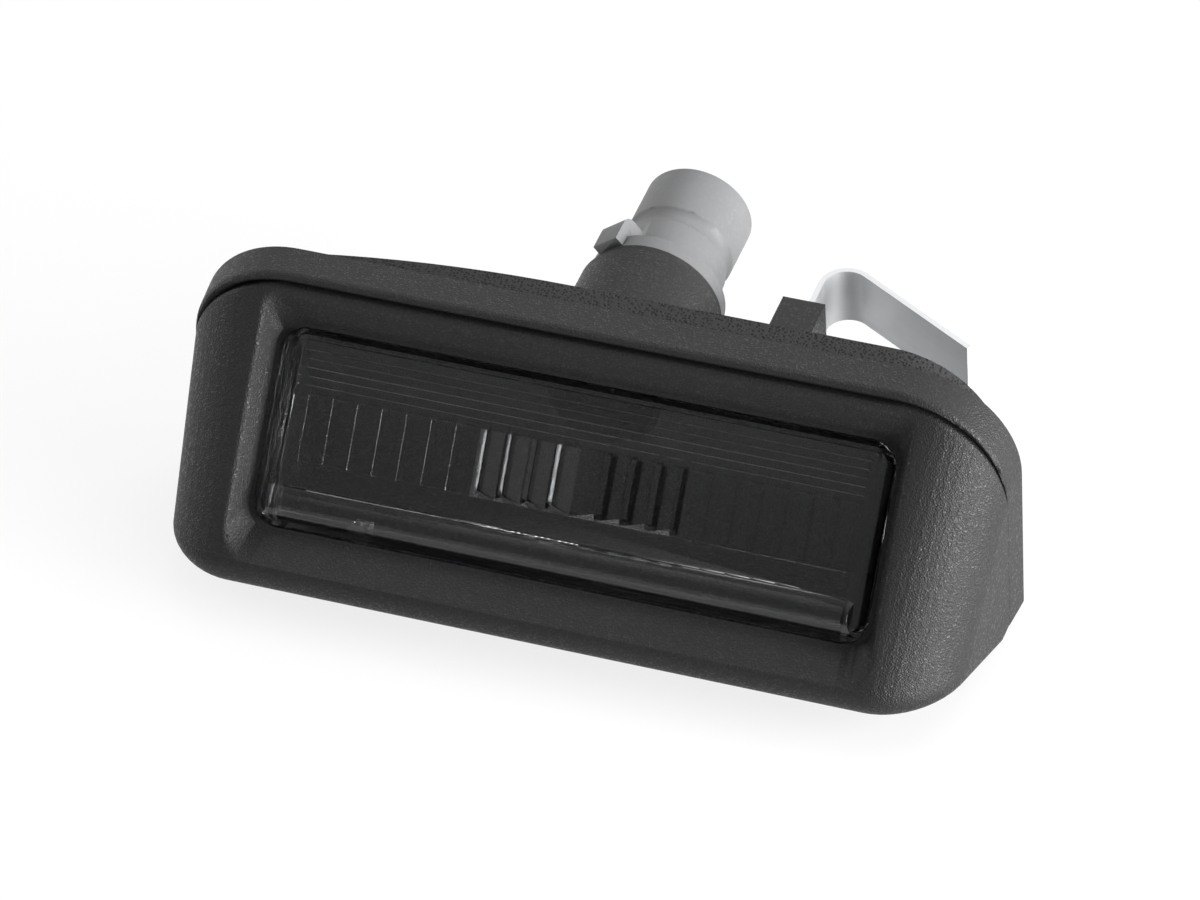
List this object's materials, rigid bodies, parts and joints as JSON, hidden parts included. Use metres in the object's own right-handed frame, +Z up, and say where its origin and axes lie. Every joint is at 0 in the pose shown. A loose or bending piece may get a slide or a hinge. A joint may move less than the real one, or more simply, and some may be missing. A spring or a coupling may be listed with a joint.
{
  "type": "number plate lamp",
  "caption": "Wedge-shaped car number plate lamp: moulded housing with a fluted clear lens in front, and a foam gasket, spring clip and twist-lock bulb holder behind its flange.",
  "frame": {"origin": "centre of the gasket's sealing face, which rests on the car's panel", "axes": "+X along the flange towards the spring clip's end, +Y out of the sealing face into the car body along the bulb neck, +Z up the flange as pictured, towards the lens's shallow edge"},
  "size_m": [0.0936, 0.0543, 0.0314],
  "materials": {
    "housing_plastic": "fine grain",
    "lens_plastic": "clear, polished",
    "gasket_foam": "closed-cell foam",
    "clip_steel": "bright spring steel",
    "holder_plastic": "satin",
    "seal_rubber": "smooth",
    "contact_brass": "bright",
    "bulb_glass": "clear",
    "bulb_wire": "drawn wire"
  },
  "bodies": {
    "lamp": {"housing": "housing_plastic", "lens": "lens_plastic", "gasket": "gasket_foam", "spring_clip": "clip_steel"},
    "holder": {"bulb_holder": "holder_plastic", "holder_seal": "seal_rubber", "contact_left": "contact_brass", "contact_right": "contact_brass", "bulb_glass": "bulb_glass", "bulb_filament": "bulb_wire", "bulb_lead_left": "bulb_wire", "bulb_lead_right": "bulb_wire"}
  },
  "joints": [
    {"name": "holder_twist", "type": "hinge", "parent": "lamp", "child": "holder", "pos_m": [0.0007, 0.01, 0.0057], "axis": [0, 1, 0], "range_deg": [0, 50]}
  ]
}
